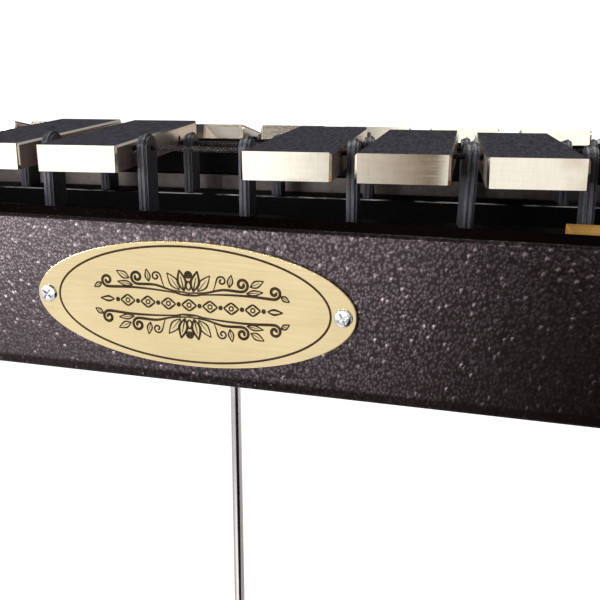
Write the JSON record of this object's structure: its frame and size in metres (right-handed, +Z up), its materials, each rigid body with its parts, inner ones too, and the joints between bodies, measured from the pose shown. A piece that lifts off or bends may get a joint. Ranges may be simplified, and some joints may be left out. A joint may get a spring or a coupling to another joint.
{
  "type": "glockenspiel",
  "caption": "Concert glockenspiel: two rows of metal bars on cords and posts in a tapered wooden frame, with a pedal damper and a height-adjustable stand.",
  "frame": {"origin": "floor under the middle of the bounding box", "axes": "+Z up; -Y towards the audience, which sees the plate; +X towards the low notes"},
  "size_m": [0.854, 0.48, 0.8633],
  "materials": {
    "bar_metal": "satin nickel silver, dark treated top",
    "painted_wood": "dark textured paint",
    "raw_wood": "raw, sawn",
    "post_plastic": "satin black",
    "cord_fibre": "twisted, dark with pale flecks",
    "plate_brass": "brushed, engraved",
    "screw_nickel": "nickel plated",
    "felt": "black felt",
    "damper_metal": "dull grey-brown",
    "spring_steel": "bright wire",
    "rod_chrome": "polished",
    "stand_paint": "satin black",
    "knob_plastic": "black",
    "pedal_metal": "cast, ribbed"
  },
  "bodies": {
    "stand": {"leg_low": "stand_paint", "leg_high": "stand_paint", "crossbar": "stand_paint", "pedal_bracket": "stand_paint"},
    "upper": {"front_rail": "painted_wood", "rear_rail": "painted_wood", "end_board_low": "painted_wood", "end_board_high": "painted_wood", "post_rail_sharps_outer": "post_plastic", "post_rail_sharps_inner": "post_plastic", "post_rail_naturals_inner": "post_plastic", "post_rail_naturals_outer": "post_plastic", "cord_sharps": "cord_fibre", "cord_naturals": "cord_fibre", "name_plate": "plate_brass", "plate_screw_low": "screw_nickel", "plate_screw_high": "screw_nickel", "ledger_strip": "raw_wood", "spring_brace": "painted_wood", "damper_spring": "spring_steel", "column_low": "rod_chrome", "column_high": "rod_chrome", "bar_g5": "bar_metal", "bar_gs5": "bar_metal", "bar_a5": "bar_metal", "bar_as5": "bar_metal", "bar_b5": "bar_metal", "bar_c6": "bar_metal", "bar_cs6": "bar_metal", "bar_d6": "bar_metal", "bar_ds6": "bar_metal", "bar_e6": "bar_metal", "bar_f6": "bar_metal", "bar_fs6": "bar_metal", "bar_g6": "bar_metal", "bar_gs6": "bar_metal", "bar_a6": "bar_metal", "bar_as6": "bar_metal", "bar_b6": "bar_metal", "bar_c7": "bar_metal", "bar_cs7": "bar_metal", "bar_d7": "bar_metal", "bar_ds7": "bar_metal", "bar_e7": "bar_metal", "bar_f7": "bar_metal", "bar_fs7": "bar_metal", "bar_g7": "bar_metal", "bar_gs7": "bar_metal", "bar_a7": "bar_metal", "bar_as7": "bar_metal", "bar_b7": "bar_metal", "bar_c8": "bar_metal"},
    "damper": {"damper_rail": "damper_metal", "damper_felt": "felt", "pull_rod": "rod_chrome"},
    "tube": {"pull_tube": "stand_paint"},
    "pedal": {"pedal": "pedal_metal"},
    "thumbscrew": {"rod_thumbscrew": "knob_plastic"},
    "knob_low": {"clamp_knob_low": "knob_plastic"},
    "knob_high": {"clamp_knob_high": "knob_plastic"}
  },
  "joints": [
    {"name": "height_slide", "type": "slide", "parent": "stand", "child": "upper", "axis": [0, 0, 1], "range_m": [0, 0.15]},
    {"name": "pedal_hinge", "type": "hinge", "parent": "stand", "child": "pedal", "pos_m": [-0.0505, -0.09, 0.06], "axis": [-1, 0, 0], "range_deg": [0, 4.3], "stiffness_Nm_per_rad": 40, "springref_deg": -5.73},
    {"name": "damper_slide", "type": "slide", "parent": "upper", "child": "damper", "axis": [0, 0, -1], "range_m": [0, 0.0071], "deforming": ["damper_spring"]},
    {"name": "tube_slide", "type": "slide", "parent": "stand", "child": "tube", "axis": [0, 0, -1], "range_m": [0, 0.0071]},
    {"name": "thumbscrew_turn", "type": "hinge", "parent": "tube", "child": "thumbscrew", "pos_m": [-0.0505, 0.00188, 0.537], "axis": [0, 1, 0], "range_deg": [-360, 360]},
    {"name": "knob_low_turn", "type": "hinge", "parent": "stand", "child": "knob_low", "pos_m": [0.38705, 0, 0.545], "axis": [1, 0, 0], "range_deg": [-720, 720]},
    {"name": "knob_high_turn", "type": "hinge", "parent": "stand", "child": "knob_high", "pos_m": [-0.38705, 0, 0.545], "axis": [-1, 0, 0], "range_deg": [-720, 720]}
  ],
  "couplings": [
    {"joint": "damper_slide", "follows": "pedal_hinge", "m_per_rad": 0.09188},
    {"joint": "tube_slide", "follows": "pedal_hinge", "m_per_rad": 0.09188}
  ]
}
